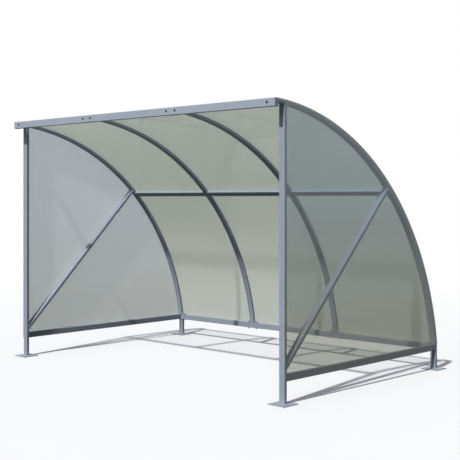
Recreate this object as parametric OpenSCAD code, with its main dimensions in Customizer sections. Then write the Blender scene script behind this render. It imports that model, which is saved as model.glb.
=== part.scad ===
// Open-fronted shelter with a quarter-round back: a galvanised tube frame under clear sheets.
// +X runs along the shelter, +Y to its back and +Z up. The origin is on the ground,
// under the middle of the whole shelter. All sizes are in millimetres.

/* [Shelter] */
// Width over the outer faces of the two end frames
shelter_w = 3060; // [2400:10:4000]
// Height of the top of the front beam
shelter_h = 2090; // [1700:2:2600]
// Depth from the face of the front posts to the back of the rear legs
shelter_d = 1950; // [1500:10:2400]
// How far the front beam stands out in front of the posts
beam_reach = 100; // [50:5:160]
// Depth of the arches' centre below the ground
crown_drop = 88; // [0:1:150]

/* [Tube] */
// Wide side of every tube but the front beam
tube_w = 50; // [40:1:60]
// Narrow side of every tube but the front beam
tube_t = 25; // [20:1:32]
// Wall of every tube but the front beam
tube_wall = 2; // [1.5:0.1:2.5]
// Radius of these tubes' outer corners
tube_r = 3; // [2.6:0.1:5]

/* [Front beam] */
// Height of the front beam
beam_w = 60; // [50:1:80]
// Depth of the front beam
beam_t = 30; // [25:1:40]
// Wall of the front beam
beam_wall = 3; // [2:0.1:4]
// Radius of the front beam's outer corners
beam_r = 5; // [4.5:0.1:7]
// Distance of the beam's bolts below its top
bolt_drop = 26; // [24:1:40]

/* [Rails and braces] */
// Height of the underside of the bottom rails
rail_z = 160; // [100:5:300]
// Angle up the arch at which the middle rail is set
mid_angle = 45.5; // [30:0.1:60]
// Height of a brace's middle where it leaves the post
brace_foot_z = 254; // [200:1:400]
// Angle up the arch at which a brace ends
brace_head_angle = 47; // [35:0.5:65]

/* [Sheets] */
// Thickness of the clear sheets
sheet_t = 5; // [3:0.5:6]
// Gap between two roof sheets, over an inner arch
sheet_gap = 4; // [2:0.5:8]
// How far the foot of the roof sheets stands in from the back of the rear legs
sheet_inset = 6; // [4:0.5:9]
// Thickness of the tape between the sheets and the frame
seat = 0.3; // [0.2:0.1:1]
// Length of the rear lower corner that is cut off the side sheets
notch_l = 88; // [40:1:150]

/* [Plates and bolts] */
// Side of the square base plates
plate_w = 150; // [120:5:200]
// Thickness of the base plates
plate_t = 6; // [5:0.5:10]
// Distance between the anchor holes in a base plate
anchor_spacing = 110; // [80:5:120]
// Diameter of the anchor holes
anchor_d = 12; // [8:0.5:14]
// Length of the plates that bolt the arches on
flange_l = 130; // [120:1:180]
// Thickness of the plates that bolt the arches on
flange_t = 6; // [4:0.5:10]
// Distance between the two bolts of an arch
bolt_spacing = 95; // [90:1:105]
// Diameter of the bolts
bolt_d = 8; // [6:0.5:10]
// Width across the flats of the bolt heads and nuts
bolt_af = 13; // [10:0.5:13]
// Height of the bolt heads
bolt_head_h = 5.5; // [4:0.5:8]
// Height of the nuts
nut_h = 6.5; // [5:0.5:9]
// Length of thread that stands out of a nut
thread_out = 5; // [2:0.5:10]
// Clearance of a bolt in its hole, on the diameter
bolt_play = 1; // [0.5:0.1:2]

/* [Hidden] */

bays = 3;
steel = [0.62, 0.65, 0.68];
dark_steel = [0.30, 0.32, 0.35];
sheet_tint = [0.62, 0.66, 0.62, 0.55];
arc_facets = 360;
round_facets = 48;
// Overlap that lets a cutting shape reach past the face it cuts
cut = 10;
// Thickness of the caps that close the front beam's ends
cap_t = 2;
// Angle that the arcs cover before they are cut to length
arc_sweep = 92;

// Places along Y: faces of the front posts, the beam and the rear legs
front_ext = beam_reach + bolt_head_h;
rear_ext = shelter_d - tube_t / 2 + plate_w / 2;
post_y = (front_ext - rear_ext) / 2;
post_back = post_y + tube_t;
beam_y = post_y - beam_reach;
beam_back = beam_y + beam_t;
leg_back = post_y + shelter_d;
leg_y = leg_back - tube_t;

// Heights of the rails, the arches' feet and the bolts through the beam
rail_top = rail_z + tube_w;
foot_z = rail_top + flange_t;
beam_z = shelter_h - beam_w;
beam_mid_z = shelter_h - beam_w / 2;
beam_bolt_z = shelter_h - bolt_drop;

// The roof sheets' outer face is an arc from the top of the beam's back down to the rear legs
sheet_foot_y = leg_back - sheet_inset;
arch_cz = -crown_drop;
arch_cy = (beam_back ^ 2 - sheet_foot_y ^ 2 + (shelter_h - arch_cz) ^ 2 - (foot_z - arch_cz) ^ 2)
    / (2 * (beam_back - sheet_foot_y));
sheet_r = norm([beam_back - arch_cy, shelter_h - arch_cz]);
arch_r = sheet_r - sheet_t - seat;
arch_inner_r = arch_r - tube_t;

// Places along X: outer faces and middles of the four arches
half_w = shelter_w / 2;
end_x = half_w - tube_w / 2;
bay = 2 * end_x / bays;
inner_x = bay / 2;
roof_half_w = half_w + seat + sheet_t;

// The rear rail stands right under the arches' feet, with its bolts through its middle
rail_y = arc_y(arch_inner_r, foot_z);
foot_bolt_y = rail_y + tube_t / 2;

// Y of the arc of radius r at height z, and Z of the arc at y
function arc_y(r, z) = arch_cy + sqrt(r ^ 2 - (z - arch_cz) ^ 2);
function arc_z(r, y) = arch_cz + sqrt(r ^ 2 - (y - arch_cy) ^ 2);

// X of the bolts of the arch at x: two, or one on the inner side of an end arch
function bolts_at(x) =
    [for (s = [-1, 1]) if (abs(x + s * bolt_spacing / 2) < end_x) x + s * bolt_spacing / 2];
function all_bolts() = [for (x = [-end_x, -inner_x, inner_x, end_x]) each bolts_at(x)];

module rounded_outline(w, t, r) {
    square([w - 2 * r, t], center = true);
    square([w, t - 2 * r], center = true);
    for (x = [-1, 1], y = [-1, 1])
        translate([x * (w / 2 - r), y * (t / 2 - r)]) circle(r, $fn = round_facets);
}

// Cross-section of a tube, w along X and t along Y
module tube_section(w, t, wall = tube_wall, r = tube_r) {
    difference() {
        rounded_outline(w, t, r);
        rounded_outline(w - 2 * wall, t - 2 * wall, r - wall);
    }
}

// Turns a shape drawn in XY and raised along Z so that it lies in YZ and runs along X
module along_x() rotate([90, 0, 90]) children();

// Turns a shape drawn in XY and raised along Z so that it runs along Y
module along_y() rotate([-90, 0, 0]) children();

// Solid between the end frames' outer faces, bounded by the arc of radius r
module arc_disc(r, x0, x1)
    translate([x0, arch_cy, arch_cz]) along_x() cylinder(r = r, h = x1 - x0, $fn = arc_facets);

// Sweeps a section along the whole arc; its X is the radius and its Y runs along the shelter
module sweep_arc()
    translate([0, arch_cy, arch_cz]) along_x()
        rotate_extrude(angle = arc_sweep, $fn = arc_facets) children();

// Keeps what is behind the plane y and above the plane z
module behind_and_above(y, z)
    intersection() {
        children();
        translate([-half_w - cut, y, z])
            cube([shelter_w + 2 * cut, 2 * shelter_d, 2 * shelter_h]);
    }

module front_post(side)
    color(steel)
    intersection() {
        translate([side * end_x, post_y + tube_t / 2, plate_t])
            linear_extrude(shelter_h) tube_section(tube_w, tube_t);
        arc_disc(arch_inner_r, -half_w - cut, half_w + cut);
    }

module rear_leg(side)
    color(steel)
    translate([side * end_x, leg_y + tube_t / 2, plate_t])
        linear_extrude(rail_top - plate_t) tube_section(tube_w, tube_t);

module base_plate(side, y)
    color(steel)
    translate([side * end_x, y + tube_t / 2, 0])
    difference() {
        translate([-plate_w / 2, -plate_w / 2, 0]) cube([plate_w, plate_w, plate_t]);
        for (sx = [-1, 1], sy = [-1, 1])
            translate([sx * anchor_spacing / 2, sy * anchor_spacing / 2, -cut])
                cylinder(d = anchor_d, h = plate_t + 2 * cut, $fn = round_facets);
    }

module arch(x)
    color(steel)
    behind_and_above(beam_back + flange_t, foot_z)
    sweep_arc() translate([arch_r - tube_t / 2, x]) tube_section(tube_t, tube_w);

// Span along X of the plates at the arch at x, which stop flush with the end frames
function flange_span(x) = [max(x - flange_l / 2, -half_w), min(x + flange_l / 2, half_w)];

module head_plate(x) {
    span = flange_span(x);
    top = arc_z(arch_r, beam_back + flange_t);
    color(steel)
    difference() {
        translate([span[0], beam_back, beam_z]) cube([span[1] - span[0], flange_t, top - beam_z]);
        for (bx = bolts_at(x))
            translate([bx, beam_back - cut, beam_bolt_z]) along_y()
                cylinder(d = bolt_d + bolt_play, h = flange_t + 2 * cut, $fn = round_facets);
    }
}

// Plate under an arch's foot, which at an end frame covers the leg as well
module foot_plate(x) {
    span = flange_span(x);
    depth = abs(x) < end_x ? tube_t : leg_back - rail_y;
    color(steel)
    difference() {
        translate([span[0], rail_y, rail_top]) cube([span[1] - span[0], depth, flange_t]);
        for (bx = bolts_at(x))
            translate([bx, foot_bolt_y, rail_top - cut])
                cylinder(d = bolt_d + bolt_play, h = flange_t + 2 * cut, $fn = round_facets);
    }
}

module front_beam()
    color(steel)
    difference() {
        translate([-half_w + cap_t, beam_y + beam_t / 2, beam_mid_z]) along_x()
            linear_extrude(shelter_w - 2 * cap_t) tube_section(beam_t, beam_w, beam_wall, beam_r);
        for (x = all_bolts())
            translate([x, beam_y - cut, beam_bolt_z]) along_y()
                cylinder(d = bolt_d + bolt_play, h = beam_t + 2 * cut, $fn = round_facets);
    }

module beam_end_caps()
    color(steel)
    for (x = [-half_w, half_w - cap_t])
        translate([x, beam_y + beam_t / 2, beam_mid_z]) along_x()
            linear_extrude(cap_t) rounded_outline(beam_t, beam_w, beam_r);

module rear_rail()
    color(steel)
    difference() {
        translate([-half_w + tube_w, rail_y + tube_t / 2, rail_z + tube_w / 2]) along_x()
            linear_extrude(shelter_w - 2 * tube_w) tube_section(tube_t, tube_w);
        for (x = all_bolts())
            translate([x, foot_bolt_y, rail_z - cut])
                cylinder(d = bolt_d + bolt_play, h = tube_w + 2 * cut, $fn = round_facets);
    }

// Straight rail between two arches, whose bay has its middle at x
module mid_rail(x)
    color(steel)
    translate([x - (bay - tube_w) / 2, arch_cy, arch_cz]) along_x()
        rotate(mid_angle) translate([arch_r - tube_t / 2, 0, 0])
            linear_extrude(bay - tube_w) tube_section(tube_t, tube_w);

module side_rail(side)
    color(steel)
    translate([side * (half_w - tube_t / 2), post_back, rail_z + tube_w / 2]) along_y()
        linear_extrude(leg_y - post_back) tube_section(tube_t, tube_w);

module brace(side) {
    head = [arch_cy + arch_inner_r * cos(brace_head_angle), arch_cz + arch_inner_r * sin(brace_head_angle)];
    run = head - [post_back, brace_foot_z];
    slope = atan2(run[1], run[0]);
    color(steel)
    intersection() {
        translate([side * end_x, post_back, brace_foot_z]) rotate([slope, 0, 0]) along_y()
            translate([0, 0, -2 * tube_w])
                linear_extrude(norm(run) + 4 * tube_w) tube_section(tube_w, tube_t);
        arc_disc(arch_inner_r, -half_w - cut, half_w + cut);
        translate([-half_w - cut, post_back, 0]) cube([shelter_w + 2 * cut, shelter_d, shelter_h]);
    }
}

// Curved sheet over one bay, from x0 to x1, cut away over the end frames' foot plates
module roof_sheet(x0, x1) {
    clear_x = flange_span(end_x)[0];
    color(sheet_tint)
    difference() {
        behind_and_above(beam_back, rail_top)
            sweep_arc() translate([sheet_r - sheet_t, x0]) square([sheet_t, x1 - x0]);
        for (x = [-roof_half_w - cut, clear_x])
            translate([x, rail_y, rail_top - cut])
                cube([roof_half_w + cut - clear_x, tube_w, cut + flange_t]);
    }
}

// Flat sheet on the outside of an end frame, cut away at its rear lower corner
module side_sheet(side) {
    x0 = side > 0 ? half_w + seat : -half_w - seat - sheet_t;
    color(sheet_tint)
    difference() {
        intersection() {
            arc_disc(arch_r, x0, x0 + sheet_t);
            translate([x0, post_y, rail_z]) cube([sheet_t, shelter_d, shelter_h]);
        }
        translate([x0 - cut, leg_back - notch_l, rail_z - cut])
            cube([sheet_t + 2 * cut, notch_l + cut, tube_w + cut]);
    }
}

// Bolt along Z with its head's underside at z = 0 and a nut below the grip
module bolt(grip) {
    cylinder(d = bolt_af / cos(30), h = bolt_head_h, $fn = 6);
    translate([0, 0, -grip - nut_h - thread_out])
        cylinder(d = bolt_d, h = grip + nut_h + thread_out, $fn = round_facets);
    translate([0, 0, -grip - nut_h]) cylinder(d = bolt_af / cos(30), h = nut_h, $fn = 6);
}

module beam_bolts()
    color(dark_steel)
    for (x = all_bolts())
        translate([x, beam_y, beam_bolt_z]) rotate([90, 0, 0]) rotate(90) bolt(beam_t + flange_t);

module rear_rail_bolts()
    color(dark_steel)
    for (x = all_bolts())
        translate([x, foot_bolt_y, foot_z]) bolt(tube_w + flange_t);

front_post(-1);  // left_front_post
front_post(1);  // right_front_post
rear_leg(-1);  // left_rear_leg
rear_leg(1);  // right_rear_leg
base_plate(-1, post_y);  // left_front_base_plate
base_plate(1, post_y);  // right_front_base_plate
base_plate(-1, leg_y);  // left_rear_base_plate
base_plate(1, leg_y);  // right_rear_base_plate
arch(-end_x);  // left_end_arch
arch(-inner_x);  // left_inner_arch
arch(inner_x);  // right_inner_arch
arch(end_x);  // right_end_arch
head_plate(-end_x);  // left_end_head_plate
head_plate(-inner_x);  // left_inner_head_plate
head_plate(inner_x);  // right_inner_head_plate
head_plate(end_x);  // right_end_head_plate
foot_plate(-end_x);  // left_end_foot_plate
foot_plate(-inner_x);  // left_inner_foot_plate
foot_plate(inner_x);  // right_inner_foot_plate
foot_plate(end_x);  // right_end_foot_plate
front_beam();
beam_end_caps();
rear_rail();
mid_rail(-bay);  // left_mid_rail
mid_rail(0);  // centre_mid_rail
mid_rail(bay);  // right_mid_rail
side_rail(-1);  // left_side_rail
side_rail(1);  // right_side_rail
brace(-1);  // left_brace
brace(1);  // right_brace
roof_sheet(-roof_half_w, -inner_x - sheet_gap / 2);  // left_roof_sheet
roof_sheet(sheet_gap / 2 - inner_x, inner_x - sheet_gap / 2);  // centre_roof_sheet
roof_sheet(inner_x + sheet_gap / 2, roof_half_w);  // right_roof_sheet
side_sheet(-1);  // left_side_sheet
side_sheet(1);  // right_side_sheet
beam_bolts();
rear_rail_bolts();
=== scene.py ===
"""Open-fronted smoking shelter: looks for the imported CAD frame, its floor, light and camera."""

import math
import random

import bmesh
import bpy
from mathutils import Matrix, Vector

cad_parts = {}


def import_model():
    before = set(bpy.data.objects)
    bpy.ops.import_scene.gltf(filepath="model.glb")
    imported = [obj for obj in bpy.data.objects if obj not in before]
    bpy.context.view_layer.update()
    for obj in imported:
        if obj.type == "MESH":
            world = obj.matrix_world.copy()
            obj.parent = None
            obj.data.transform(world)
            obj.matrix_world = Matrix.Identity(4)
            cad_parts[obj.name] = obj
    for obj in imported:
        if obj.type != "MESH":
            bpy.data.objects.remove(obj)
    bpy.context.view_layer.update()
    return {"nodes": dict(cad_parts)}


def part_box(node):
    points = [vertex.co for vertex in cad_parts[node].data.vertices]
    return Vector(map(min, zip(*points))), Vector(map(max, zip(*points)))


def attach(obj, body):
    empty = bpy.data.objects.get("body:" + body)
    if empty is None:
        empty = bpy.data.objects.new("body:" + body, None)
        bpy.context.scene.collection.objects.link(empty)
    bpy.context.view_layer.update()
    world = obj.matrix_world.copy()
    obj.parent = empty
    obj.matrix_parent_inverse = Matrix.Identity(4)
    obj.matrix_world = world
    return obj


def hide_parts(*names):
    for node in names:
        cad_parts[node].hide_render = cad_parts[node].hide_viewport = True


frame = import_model()
nodes = frame["nodes"]

X, Y, Z = 0, 1, 2
LOW, HIGH = 0, 1
WHITE = (1.0, 1.0, 1.0, 1.0)

# ---------------------------------------------------------------- node graphs


class Graph:
    """Short calls for the nodes of a material or a world."""

    def __init__(self, owner, output="ShaderNodeOutputMaterial"):
        self.owner = owner
        self.owner.use_nodes = True
        self.tree = self.owner.node_tree
        self.tree.nodes.clear()
        self.out = self.tree.nodes.new(output)

    def put(self, socket, value):
        """Links the socket to another node's, or else sets its value."""
        if isinstance(value, bpy.types.NodeSocket):
            self.tree.links.new(value, socket)
        else:
            socket.default_value = value

    def node(self, kind, inputs=None, **settings):
        n = self.tree.nodes.new(kind)
        for key, value in settings.items():
            setattr(n, key, value)
        for key, value in (inputs or {}).items():
            self.put(n.inputs[key], value)
        return n

    def math(self, kind, a, b=0.0):
        return self.node("ShaderNodeMath", {0: a, 1: b}, operation=kind).outputs[0]

    def scaled(self, vector, by):
        n = self.node("ShaderNodeVectorMath", {0: vector, 1: by}, operation="MULTIPLY")
        return n.outputs[0]

    def part(self, vector, axis):
        return self.node("ShaderNodeSeparateXYZ", {0: vector}).outputs[axis]

    def spread(self, value, low, high, to_low=0.0, to_high=1.0):
        """Maps low..high to to_low..to_high, and holds it there outside."""
        n = self.node("ShaderNodeMapRange", {
            "Value": value, "From Min": low, "From Max": high,
            "To Min": to_low, "To Max": to_high})
        return n.outputs[0]

    def between(self, share, low, high):
        """Goes from low to high as the share goes from 0 to 1."""
        return self.spread(share, 0.0, 1.0, low, high)

    def noise(self, vector, scale, detail=3.0):
        n = self.node("ShaderNodeTexNoise", {"Vector": vector, "Scale": scale, "Detail": detail})
        return n.outputs["Fac"]

    def ramp(self, fac, stops):
        n = self.node("ShaderNodeValToRGB", {"Fac": fac})
        elements = n.color_ramp.elements
        while len(elements) < len(stops):
            elements.new(0.5)
        for element, (position, colour) in zip(elements, stops):
            element.position = position
            element.color = (*colour, 1.0)
        return n.outputs["Color"]

    def mix(self, fac, a, b):
        """Mix of two colours, for which this node has its own sockets."""
        factor, first, second, result = 0, 6, 7, 2
        n = self.node("ShaderNodeMix", {factor: fac}, data_type="RGBA")
        for key, colour in ((first, a), (second, b)):
            linked = isinstance(colour, bpy.types.NodeSocket)
            self.put(n.inputs[key], colour if linked else (*colour, 1.0))
        return n.outputs[result]

    def blend(self, share, first, second):
        """Shader that is the first where the share is 0 and the second where it is 1."""
        return self.node("ShaderNodeMixShader", {
            0: share, 1: first.outputs[0], 2: second.outputs[0]})

    def finish(self, shader):
        self.tree.links.new(shader.outputs[0], self.out.inputs[0])
        return self.owner


def material_graph(name):
    return Graph(bpy.data.materials.new(name))


# ---------------------------------------------------------------- steel and bolts

DARK_ZINC = (0.375, 0.425, 0.495)
ZINC = (0.44, 0.495, 0.58)
PALE_ZINC = (0.505, 0.56, 0.65)
# How far the painted shade on upward faces darkens the zinc
PAINTED_TOP_SHADE = 0.68


def steel_material(name, shade, spangle_share, bump_depth):
    """Dull hot-dip zinc: spangle, soft clouds, paler edges (wear and painted highlight), painted
    shade on upward faces, fine grain.
    """
    g = material_graph(name)
    place = g.node("ShaderNodeTexCoord").outputs["Object"]
    surface = g.node("ShaderNodeNewGeometry").outputs
    crystal = g.node("ShaderNodeTexVoronoi", {"Vector": place, "Scale": 70.0}, feature="F1")
    cloud = g.noise(place, scale=4.0, detail=5.0)
    drift = g.noise(g.scaled(place, (1.0, 1.0, 0.35)), scale=22.0, detail=4.0)
    fine = g.noise(place, scale=160.0)

    drift_share = 0.45
    dark, mid, pale = ([c * shade for c in tone] for tone in (DARK_ZINC, ZINC, PALE_ZINC))
    tone = g.ramp(cloud, [(0.32, dark), (0.5, mid), (0.68, pale)])
    tone = g.mix(drift_share, tone, g.ramp(drift, [(0.33, dark), (0.5, mid), (0.67, pale)]))
    spangle = g.ramp(crystal.outputs["Color"], [(0.0, dark), (1.0, pale)])
    tone = g.mix(spangle_share, tone, spangle)
    # Paler edges: partly wear, partly painted highlight
    wear_and_highlight_edges = g.spread(surface["Pointiness"], low=0.52, high=0.60, to_high=0.35)
    tone = g.mix(wear_and_highlight_edges, tone, pale)
    # Faces that look up turn darker: painted shade that tones down the lit tops
    facing_up_shade_share = g.spread(g.part(surface["Normal"], Z), low=0.3, high=0.8, to_high=0.8)
    tone = g.mix(facing_up_shade_share, tone, [c * PAINTED_TOP_SHADE for c in mid])

    bump = g.node("ShaderNodeBump", {"Strength": 0.15, "Distance": bump_depth, "Height": fine})
    return g.finish(g.node("ShaderNodeBsdfPrincipled", {
        "Base Color": tone, "Roughness": g.between(fine, 0.44, 0.62),
        "Metallic": 0.0, "Specular IOR Level": 0.05, "Normal": bump.outputs[0]}))


def bolt_material():
    """Zinc plate darkened to near black as painted shade, with a little rust in its grain."""
    dark, pale, rust = (0.030, 0.033, 0.040), (0.060, 0.065, 0.075), (0.060, 0.040, 0.028)
    g = material_graph("bolt_zinc_painted_shade")
    place = g.node("ShaderNodeTexCoord").outputs["Object"]
    grain = g.noise(place, scale=400.0)
    stain = g.noise(place, scale=60.0)
    tone = g.ramp(grain, [(0.3, dark), (0.7, pale)])
    tone = g.mix(g.spread(stain, low=0.55, high=0.75, to_high=0.35), tone, rust)
    bump = g.node("ShaderNodeBump", {"Strength": 0.2, "Distance": 0.0002, "Height": grain})
    return g.finish(g.node("ShaderNodeBsdfPrincipled", {
        "Base Color": tone, "Roughness": g.between(grain, 0.40, 0.60),
        "Metallic": 0.2, "Specular IOR Level": 0.15, "Normal": bump.outputs[0]}))


# ---------------------------------------------------------------- clear sheets

SAWN_TONE = (0.16, 0.19, 0.20)
SAWN_COVER = 0.85
LIGHT_PASSED = (0.935, 0.935, 0.935, 1.0)


def sawn_ends(g, along_x):
    """1 on the sawn ends that face along X, or else those that face across it, and 0 elsewhere."""
    tilt_from, tilt_to = 0.6, 0.7
    normal = g.node("ShaderNodeNewGeometry").outputs["Normal"]
    end = g.math("ABSOLUTE", g.part(normal, X))
    if not along_x:
        end = g.math("SUBTRACT", 1.0, end)
    return g.spread(end, tilt_from, tilt_to)


def sheet_material(name, sawn_along_x, haze_high, haze_low, filter_high, filter_low,
                   clear, dusty, turn, clean_to=None):
    """Clear plastic sheet, whose two faces each filter what is behind them under a film of haze.

    The haze covers the share clear of a face, which goes to dusty near the ground, where splashed
    dirt dries. The colours of the haze and the filter go from low to high about the height turn;
    this change with height is painted light and painted reflection.
    A face whose X is no more than clean_to carries no haze. The sawn ends that sawn_along_x picks
    are dark and nearly opaque. A face passes most of the direct light, so the sheet casts only a
    faint shadow."""
    waver, fade = 0.22, 0.45
    dirt_from, dirt_to = 0.15, 0.55
    g = material_graph(name)
    place = g.node("ShaderNodeTexCoord").outputs["Object"]
    # Horizontal bands that waver the height of the colour change: painted reflection streaks; they
    # also vary the roughness
    painted_reflection_and_roughness = g.noise(g.scaled(place, (0.35, 0.35, 2.4)), scale=1.6)
    height = g.math("ADD", g.part(place, Z), g.between(painted_reflection_and_roughness, -waver, waver))
    # Share of the high colours: painted light and painted reflection by height
    painted_by_height = g.spread(height, turn - fade, turn + fade)
    dirt = g.spread(height, dirt_from, dirt_to, 1.0, 0.0)
    share = g.between(dirt, clear, dusty)
    if clean_to is not None:
        share = g.math("MULTIPLY", share, g.math("GREATER_THAN", g.part(place, X), clean_to))
    sawn = sawn_ends(g, sawn_along_x)
    share = g.math("MAXIMUM", share, g.math("MULTIPLY", sawn, SAWN_COVER))

    haze = g.node("ShaderNodeBsdfPrincipled", {
        "Base Color": g.mix(sawn, g.mix(painted_by_height, haze_low, haze_high), SAWN_TONE),
        "Roughness": g.between(painted_reflection_and_roughness, 0.03, 0.07), "IOR": 1.5})
    filtered = g.node("ShaderNodeBsdfTransparent", {"Color": g.mix(painted_by_height, filter_low, filter_high)})
    lit = g.node("ShaderNodeBsdfTransparent", {"Color": LIGHT_PASSED})
    for_light = g.node("ShaderNodeLightPath").outputs["Is Shadow Ray"]
    return g.finish(g.blend(for_light, g.blend(share, filtered, haze), lit))


def roof_sheet_material():
    # The paler haze low down is painted sunlight on the lower inner faces
    return sheet_material(
        "roof_sheet_clear", sawn_along_x=True,
        haze_high=(0.62, 0.65, 0.60), haze_low=(0.75, 0.77, 0.72),
        filter_high=(0.769, 0.804, 0.750), filter_low=(0.79, 0.81, 0.77),
        clear=0.33, dusty=0.34, turn=0.95)


def left_sheet_material():
    # The bluer colours high up are painted sky reflection
    return sheet_material(
        "side_sheet_clear_left", sawn_along_x=False,
        haze_high=(0.74, 0.76, 0.79), haze_low=(0.74, 0.76, 0.74),
        filter_high=(0.827, 0.863, 0.884), filter_low=(0.815, 0.835, 0.822),
        clear=0.33, dusty=0.33, turn=0.80)


def right_sheet_material():
    """The right sheet carries its haze on the outer face only. Its blue colours high up and
    grey-brown ones low down are painted reflection of sky and ground.
    """
    right_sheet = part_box("right_side_sheet")
    return sheet_material(
        "side_sheet_clear_right", sawn_along_x=False,
        haze_high=(0.69, 0.75, 0.80), haze_low=(0.61, 0.61, 0.58),
        filter_high=(0.800, 0.862, 0.899), filter_low=(0.743, 0.753, 0.707),
        clear=0.32, dusty=0.33, turn=0.95,
        clean_to=(right_sheet[LOW][X] + right_sheet[HIGH][X]) / 2)


# ---------------------------------------------------------------- materials of the CAD nodes

steel = steel_material("galvanised", shade=0.94, spangle_share=0.30, bump_depth=0.0004)
# Darker copy of the zinc for posts, legs and bottom rails: painted shade, partly a real difference
# of zinc tone
darker_and_shaded_steel = steel_material(
    "galvanised_darker_and_shaded", shade=0.83, spangle_share=0.30, bump_depth=0.0004)
weld = steel_material("galvanised_weld", shade=0.88, spangle_share=0.10, bump_depth=0.0008)
bolt_zinc_painted_shade = bolt_material()


def dress_nodes():
    """Gives each CAD node its material, and hides the clear sheets from diffuse rays."""
    sheets = {
        "roof_sheet": roof_sheet_material(), "left_side_sheet": left_sheet_material(),
        "right_side_sheet": right_sheet_material()}
    darker_and_shaded_parts = ("post", "leg", "side_rail", "rear_rail")
    for name, ob in nodes.items():
        material = steel
        if "bolts" in name:
            material = bolt_zinc_painted_shade
        elif any(part in name for part in darker_and_shaded_parts):
            material = darker_and_shaded_steel
        for ending, clear in sheets.items():
            if name.endswith(ending):
                material = clear
                ob.visible_diffuse = False
        ob.data.materials.clear()
        ob.data.materials.append(material)


dress_nodes()

# ---------------------------------------------------------------- where things are, from the frame


def circle_through(a, b, c):
    """Centre and radius of the circle through three (y, z) points."""
    d = 2 * (a[0] * (b[1] - c[1]) + b[0] * (c[1] - a[1]) + c[0] * (a[1] - b[1]))
    squares = [p[0] ** 2 + p[1] ** 2 for p in (a, b, c)]
    y = (squares[0] * (b[1] - c[1]) + squares[1] * (c[1] - a[1]) + squares[2] * (a[1] - b[1])) / d
    z = (squares[0] * (c[0] - b[0]) + squares[1] * (a[0] - c[0]) + squares[2] * (b[0] - a[0])) / d
    return (y, z), math.dist((y, z), a)


def points_of(node):
    return [v.co.copy() for v in nodes[node].data.vertices]


def outer_arc(node):
    """Circle of a curved node's outer side, through its top, back and most outward points."""
    outline = [(p.y, p.z) for p in points_of(node)]
    top = max(outline, key=lambda p: p[1])
    back = max(outline, key=lambda p: p[0])
    out = max(outline, key=lambda p: p[0] + p[1])
    return circle_through(top, out, back)


arc_centre, arch_r = outer_arc("left_end_arch")
rail_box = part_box("rear_rail")
leg_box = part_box("right_rear_leg")
half_w = rail_box[HIGH][X] + (leg_box[HIGH][X] - leg_box[LOW][X])
rail_low = rail_box[LOW][Z]


def off_sheets(p):
    """Whether a weld at p stays clear of the clear sheets, which lie on the frame's outside."""
    margin = 0.004
    if p.z < rail_low - margin:
        return True
    inside_arc = math.dist((p.y, p.z), arc_centre) < arch_r - margin
    return inside_arc and abs(p.x) < half_w - margin


# ---------------------------------------------------------------- pieces


def new_piece(name, bm, material, smooth):
    bmesh.ops.recalc_face_normals(bm, faces=bm.faces)
    mesh = bpy.data.meshes.new(name)
    bm.to_mesh(mesh)
    bm.free()
    mesh.materials.append(material)
    for face in mesh.polygons:
        face.use_smooth = smooth
    ob = bpy.data.objects.new(name, mesh)
    bpy.context.scene.collection.objects.link(ob)
    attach(ob, "root")
    return ob


# ---------------------------------------------------------------- weld beads


def hull_loop(points, axis):
    """Outline of the points, square to the axis, as a closed loop in order."""
    decimals = 5
    u, v = [i for i in (X, Y, Z) if i != axis]
    flat = sorted({(round(p[u], decimals), round(p[v], decimals)) for p in points})

    def turn(o, a, b):
        return (a[0] - o[0]) * (b[1] - o[1]) - (a[1] - o[1]) * (b[0] - o[0])

    def half(seq):
        chain = []
        for q in seq:
            while len(chain) > 1 and turn(chain[-2], chain[-1], q) <= 0:
                chain.pop()
            chain.append(q)
        return chain[:-1]

    level = sum(p[axis] for p in points) / len(points)
    loop = []
    for q in half(flat) + half(flat[::-1]):
        p = Vector((0, 0, 0))
        p[u], p[v], p[axis] = q[0], q[1], level
        loop.append(p)
    return loop


def end_loop(node, axis, side):
    """Outline of a node's flat end on the low (-1) or high (1) side of the axis."""
    flatness = 0.0002
    points = points_of(node)
    level = max(side * p[axis] for p in points)
    return hull_loop([p for p in points if side * p[axis] > level - flatness], axis)


def resampled(loop, step):
    """Points round the closed loop at even steps."""
    path = loop + loop[:1]
    lengths = [(b - a).length for a, b in zip(path, path[1:])]
    total = sum(lengths)
    count = max(2, round(total / step))
    result, i, done = [], 0, 0.0
    for k in range(count):
        s = total * k / count
        while i < len(lengths) - 1 and s > done + lengths[i]:
            done += lengths[i]
            i += 1
        t = (s - done) / lengths[i] if lengths[i] else 0.0
        result.append(path[i].lerp(path[i + 1], min(t, 1.0)))
    return result


def add_bead(bm, path, rng):
    """Weld bead along an open run of points, swelling and thinning with the welder's ripples."""
    radius, sides = 0.0028, 8
    ripple, swell, scatter = 0.0045, 0.16, 0.10
    tip, growth = 0.35, 0.3
    rings = []
    run = 0.0
    for i, p in enumerate(path):
        before, after = path[max(i - 1, 0)], path[min(i + 1, len(path) - 1)]
        along = (after - before).normalized()
        across = along.orthogonal().normalized()
        other = along.cross(across)
        run += (p - before).length
        taper = min(1.0, tip + growth * min(i, len(path) - 1 - i))
        wave = swell * math.sin(2 * math.pi * run / ripple)
        r = radius * taper * (1 + wave + rng.uniform(-scatter, scatter))
        ring = []
        for k in range(sides):
            a = 2 * math.pi * k / sides
            ring.append(bm.verts.new(p + across * (r * math.cos(a)) + other * (r * math.sin(a))))
        rings.append(ring)
    for a, b in zip(rings, rings[1:]):
        turn = min(range(sides), key=lambda k: (b[k].co - a[0].co).length)
        for k in range(sides):
            m = (k + 1) % sides
            bm.faces.new((a[k], a[m], b[(m + turn) % sides], b[(k + turn) % sides]))
    bm.faces.new(rings[0][::-1])
    bm.faces.new(rings[-1])


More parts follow.
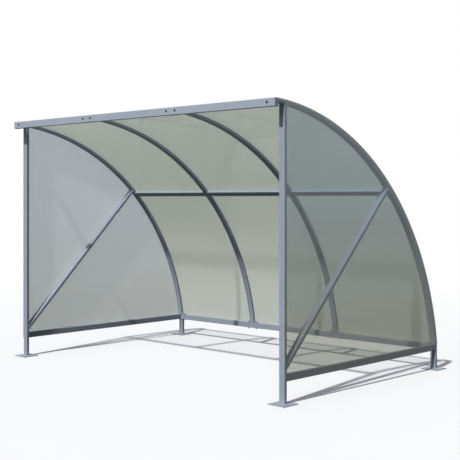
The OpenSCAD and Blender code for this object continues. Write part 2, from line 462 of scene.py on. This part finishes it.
def add_weld(bm, loop, rng):
    """Weld round a closed outline, left out where it would touch the clear sheets."""
    step, too_short = 0.0015, 6
    points = resampled(loop, step)
    keep = [off_sheets(p) for p in points]
    if all(keep):
        add_bead(bm, points + points[:1], rng)
        return
    start = next(i for i, k in enumerate(keep) if not k)
    run = []
    for i in range(len(points) + 1):
        j = (start + i) % len(points)
        if keep[j] and i < len(points):
            run.append(points[j])
            continue
        if len(run) > too_short:
            add_bead(bm, run, rng)
        run = []


def weld_piece(name, loops, seed):
    rng = random.Random(seed)
    bm = bmesh.new()
    for loop in loops:
        add_weld(bm, loop, rng)
    new_piece(name, bm, weld, smooth=True)


def welds():
    sides = ("left", "right")
    arches = ("left_end", "left_inner", "right_inner", "right_end")
    feet = [end_loop(f"{s}_{leg}", Z, -1) for s in sides for leg in ("front_post", "rear_leg")]
    weld_piece("base_plate_welds", feet, 1)
    weld_piece("arch_foot_welds", [end_loop(f"{a}_arch", Z, -1) for a in arches], 2)
    weld_piece("arch_head_welds", [end_loop(f"{a}_arch", Y, -1) for a in arches], 3)
    mids = [end_loop(f"{b}_mid_rail", X, e) for b in ("left", "centre", "right") for e in (-1, 1)]
    weld_piece("mid_rail_welds", mids, 4)
    lows = [end_loop(f"{s}_side_rail", Y, e) for s in sides for e in (-1, 1)]
    lows += [end_loop("rear_rail", X, e) for e in (-1, 1)]
    weld_piece("bottom_rail_welds", lows, 5)
    weld_piece("brace_foot_welds", [end_loop(f"{s}_brace", Y, -1) for s in sides], 6)


# ---------------------------------------------------------------- bolts

# The head's height and the shank's radius are the plain CAD bolts' too, and so are the nut's
# height and the tail, which is the thread that stands out of the nut.
HEAD_H, NUT_H = 0.0055, 0.0065
SHANK_R, TAIL = 0.004, 0.005
CHAMFER_IN, CHAMFER_DOWN = 0.00096, 0.00072
WASHER_T, WASHER_BEVEL, WASHER_TO_HEAD = 0.0012, 0.00024, 1.13
PITCH, TIP_LENGTH = 0.00125, 0.000875
ROOT_TO_SHANK, TIP_TO_SHANK = 0.88, 0.78
HEXAGON, WASHER_SIDES, SHANK_SIDES = 6, 32, 24


def ring_of(bm, centre, along, start, height, radius, count):
    """Ring of vertices round the axis along, at a height from the centre."""
    other = along.cross(start)
    ring = []
    for k in range(count):
        a = 2 * math.pi * k / count
        offset = start * (radius * math.cos(a)) + other * (radius * math.sin(a))
        ring.append(bm.verts.new(centre + along * height + offset))
    return ring


def add_turned(bm, centre, along, start, profile, count):
    """Solid of rings, whose profile is a list of (height, radius), closed at both ends."""
    rings = [ring_of(bm, centre, along, start, h, r, count) for h, r in profile]
    for a, b in zip(rings, rings[1:]):
        for k in range(count):
            m = (k + 1) % count
            bm.faces.new((a[k], a[m], b[m], b[k]))
    bm.faces.new(rings[0][::-1])
    bm.faces.new(rings[-1])


def corner_of(points, pick):
    """Lowest or highest corner of the points' box, with min or max as pick."""
    return [pick(p[i] for p in points) for i in (X, Y, Z)]


def bolt_boxes(node):
    """Lowest and highest corners of each bolt in the node, which stand apart along X."""
    least_gap = 0.02
    points = sorted(points_of(node), key=lambda p: p.x)
    groups = [[points[0]]]
    for p in points[1:]:
        if p.x - groups[-1][-1].x > least_gap:
            groups.append([])
        groups[-1].append(p)
    return [(corner_of(group, min), corner_of(group, max)) for group in groups]


def thread_profile(nut):
    """Heights and radii of the shank, with its thread from the tip to the nut's far side."""
    tip = nut - TAIL
    profile = [(tip, SHANK_R * TIP_TO_SHANK), (tip + TIP_LENGTH, SHANK_R)]
    h = profile[-1][0]
    while h + PITCH < nut:
        profile += [(h + PITCH / 2, SHANK_R * ROOT_TO_SHANK), (h + PITCH, SHANK_R)]
        h += PITCH
    return profile + [(0, SHANK_R)]


def add_bolt(bm, seat, along, start, grip, corner):
    """Hexagon bolt, two washers and a nut, with corner as the head's radius to its corners.

    The head stands on the seat and rises along the axis. The shank goes back from the seat
    through the grip, to the nut."""
    washer_r = corner * WASHER_TO_HEAD
    face = corner - CHAMFER_IN
    nut = -grip - NUT_H

    def turned(profile, count):
        add_turned(bm, seat, along, start, profile, count)

    turned([(0, corner), (HEAD_H - CHAMFER_DOWN, corner), (HEAD_H, face)], HEXAGON)
    for low in (0, -grip - WASHER_T):
        top = low + WASHER_T
        bevel = [(top - WASHER_BEVEL, washer_r), (top, washer_r - WASHER_BEVEL)]
        turned([(low, washer_r), *bevel], WASHER_SIDES)
    turned([(nut, face), (nut + CHAMFER_DOWN, corner), (-grip, corner)], HEXAGON)
    turned(thread_profile(nut), SHANK_SIDES)


def bolts(name, node, axis, head_side, grip):
    """Detailed bolts in place of the plain ones of a CAD node."""
    bm = bmesh.new()
    along = Vector((0, 0, 0))
    along[axis] = head_side
    for low, high in bolt_boxes(node):
        seat = (Vector(low) + Vector(high)) / 2
        seat[axis] = (high if head_side > 0 else low)[axis] - head_side * HEAD_H
        corner, widest = max(((high[i] - low[i]) / 2, i) for i in (X, Y, Z) if i != axis)
        start = Vector((0, 0, 0))
        start[widest] = 1.0
        add_bolt(bm, seat, along, start, grip, corner)
    piece = new_piece(name, bm, bolt_zinc_painted_shade, smooth=False)
    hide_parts(node)


def all_bolts():
    beam, rail, head, foot = (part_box(n) for n in (
        "front_beam", "rear_rail", "left_inner_head_plate", "left_inner_foot_plate"))
    bolts("beam_bolt_set", "beam_bolts", Y, -1, grip=head[HIGH][Y] - beam[LOW][Y])
    bolts("rear_rail_bolt_set", "rear_rail_bolts", Z, 1, grip=foot[HIGH][Z] - rail[LOW][Z])


welds()
all_bolts()

# ---------------------------------------------------------------- floor, light and camera


def floor_material():
    """Pale floor that fades to white away from the shelter, and is dark to diffuse rays."""
    fade_from, fade_to = 2.5, 8.0
    g = material_graph("floor_pale")
    place = g.node("ShaderNodeTexCoord").outputs["Object"]
    away = g.node("ShaderNodeVectorMath", {0: place}, operation="LENGTH").outputs["Value"]
    near = g.node("ShaderNodeBsdfDiffuse", {"Color": (0.85, 0.85, 0.85, 1.0)})
    far = g.node("ShaderNodeEmission", {"Color": WHITE, "Strength": 1.0})
    dull = g.node("ShaderNodeBsdfDiffuse", {"Color": (0.014, 0.022, 0.013, 1.0)})
    seen = g.blend(g.spread(away, fade_from, fade_to), near, far)
    bounced = g.node("ShaderNodeLightPath").outputs["Is Diffuse Ray"]
    return g.finish(g.blend(bounced, seen, dull))


def floor():
    reach = 60.0
    corners = [(-reach, -reach, 0), (reach, -reach, 0), (reach, reach, 0), (-reach, reach, 0)]
    mesh = bpy.data.meshes.new("floor")
    mesh.from_pydata(corners, [], [(0, 1, 2, 3)])
    mesh.materials.append(floor_material())
    ob = bpy.data.objects.new("floor", mesh)
    bpy.context.scene.collection.objects.link(ob)


def world():
    """Soft light from the upper half. The camera, mirrors and glass see plain white instead."""
    studio = bpy.data.worlds.new("studio")
    bpy.context.scene.world = studio
    g = Graph(studio, "ShaderNodeOutputWorld")
    direction = g.node("ShaderNodeTexCoord").outputs["Generated"]
    above = g.math("MAXIMUM", g.part(direction, Z), 0.0)
    soft = g.node("ShaderNodeBackground", {"Color": (0.31, 0.32, 0.35, 1.0), "Strength": above})
    white = g.node("ShaderNodeBackground", {"Color": WHITE})
    rays = g.node("ShaderNodeLightPath").outputs
    seen = rays["Is Camera Ray"]
    for other in ("Is Glossy Ray", "Is Transmission Ray"):
        seen = g.math("MAXIMUM", seen, rays[other])
    g.finish(g.blend(seen, soft, white))


def lamp(name, direction, strength, angle, colour):
    """Sun lamp, whose strength is how bright a white surface square to it looks."""
    data = bpy.data.lights.new(name, "SUN")
    data.energy = strength * math.pi
    data.angle = math.radians(angle)
    data.color = colour
    ob = bpy.data.objects.new(name, data)
    ob.rotation_euler = Vector(direction).to_track_quat("-Z", "Y").to_euler()
    bpy.context.scene.collection.objects.link(ob)


def lamps():
    """Small hard key light for the sun, and a wide cool fill light and back light for the sky."""
    lamp("key", (-0.123, 0.722, -1.0), strength=0.97, angle=1.5, colour=(1.0, 0.985, 0.965))
    lamp("fill", (-0.05, 0.75, -0.65), strength=0.17, angle=40.0, colour=(0.70, 0.85, 1.0))
    lamp("back", (0.35, -1.0, -0.20), strength=0.24, angle=50.0, colour=(0.90, 0.95, 1.0))


def camera():
    """Level camera where the photo's was, shifted down to frame the shelter as the photo does."""
    level, heading = math.radians(90), math.radians(43.4225)
    cam = bpy.data.cameras.new("camera")
    cam.sensor_width = 36.0
    cam.lens = 75.86
    cam.shift_y = -0.0665
    ob = bpy.data.objects.new("camera", cam)
    ob.location = (5.7937, -5.9987, 1.4016)
    ob.rotation_euler = (level, 0, heading)
    bpy.context.scene.collection.objects.link(ob)
    bpy.context.scene.camera = ob


floor()
world()
lamps()
camera()
bpy.context.scene.view_settings.view_transform = "Standard"
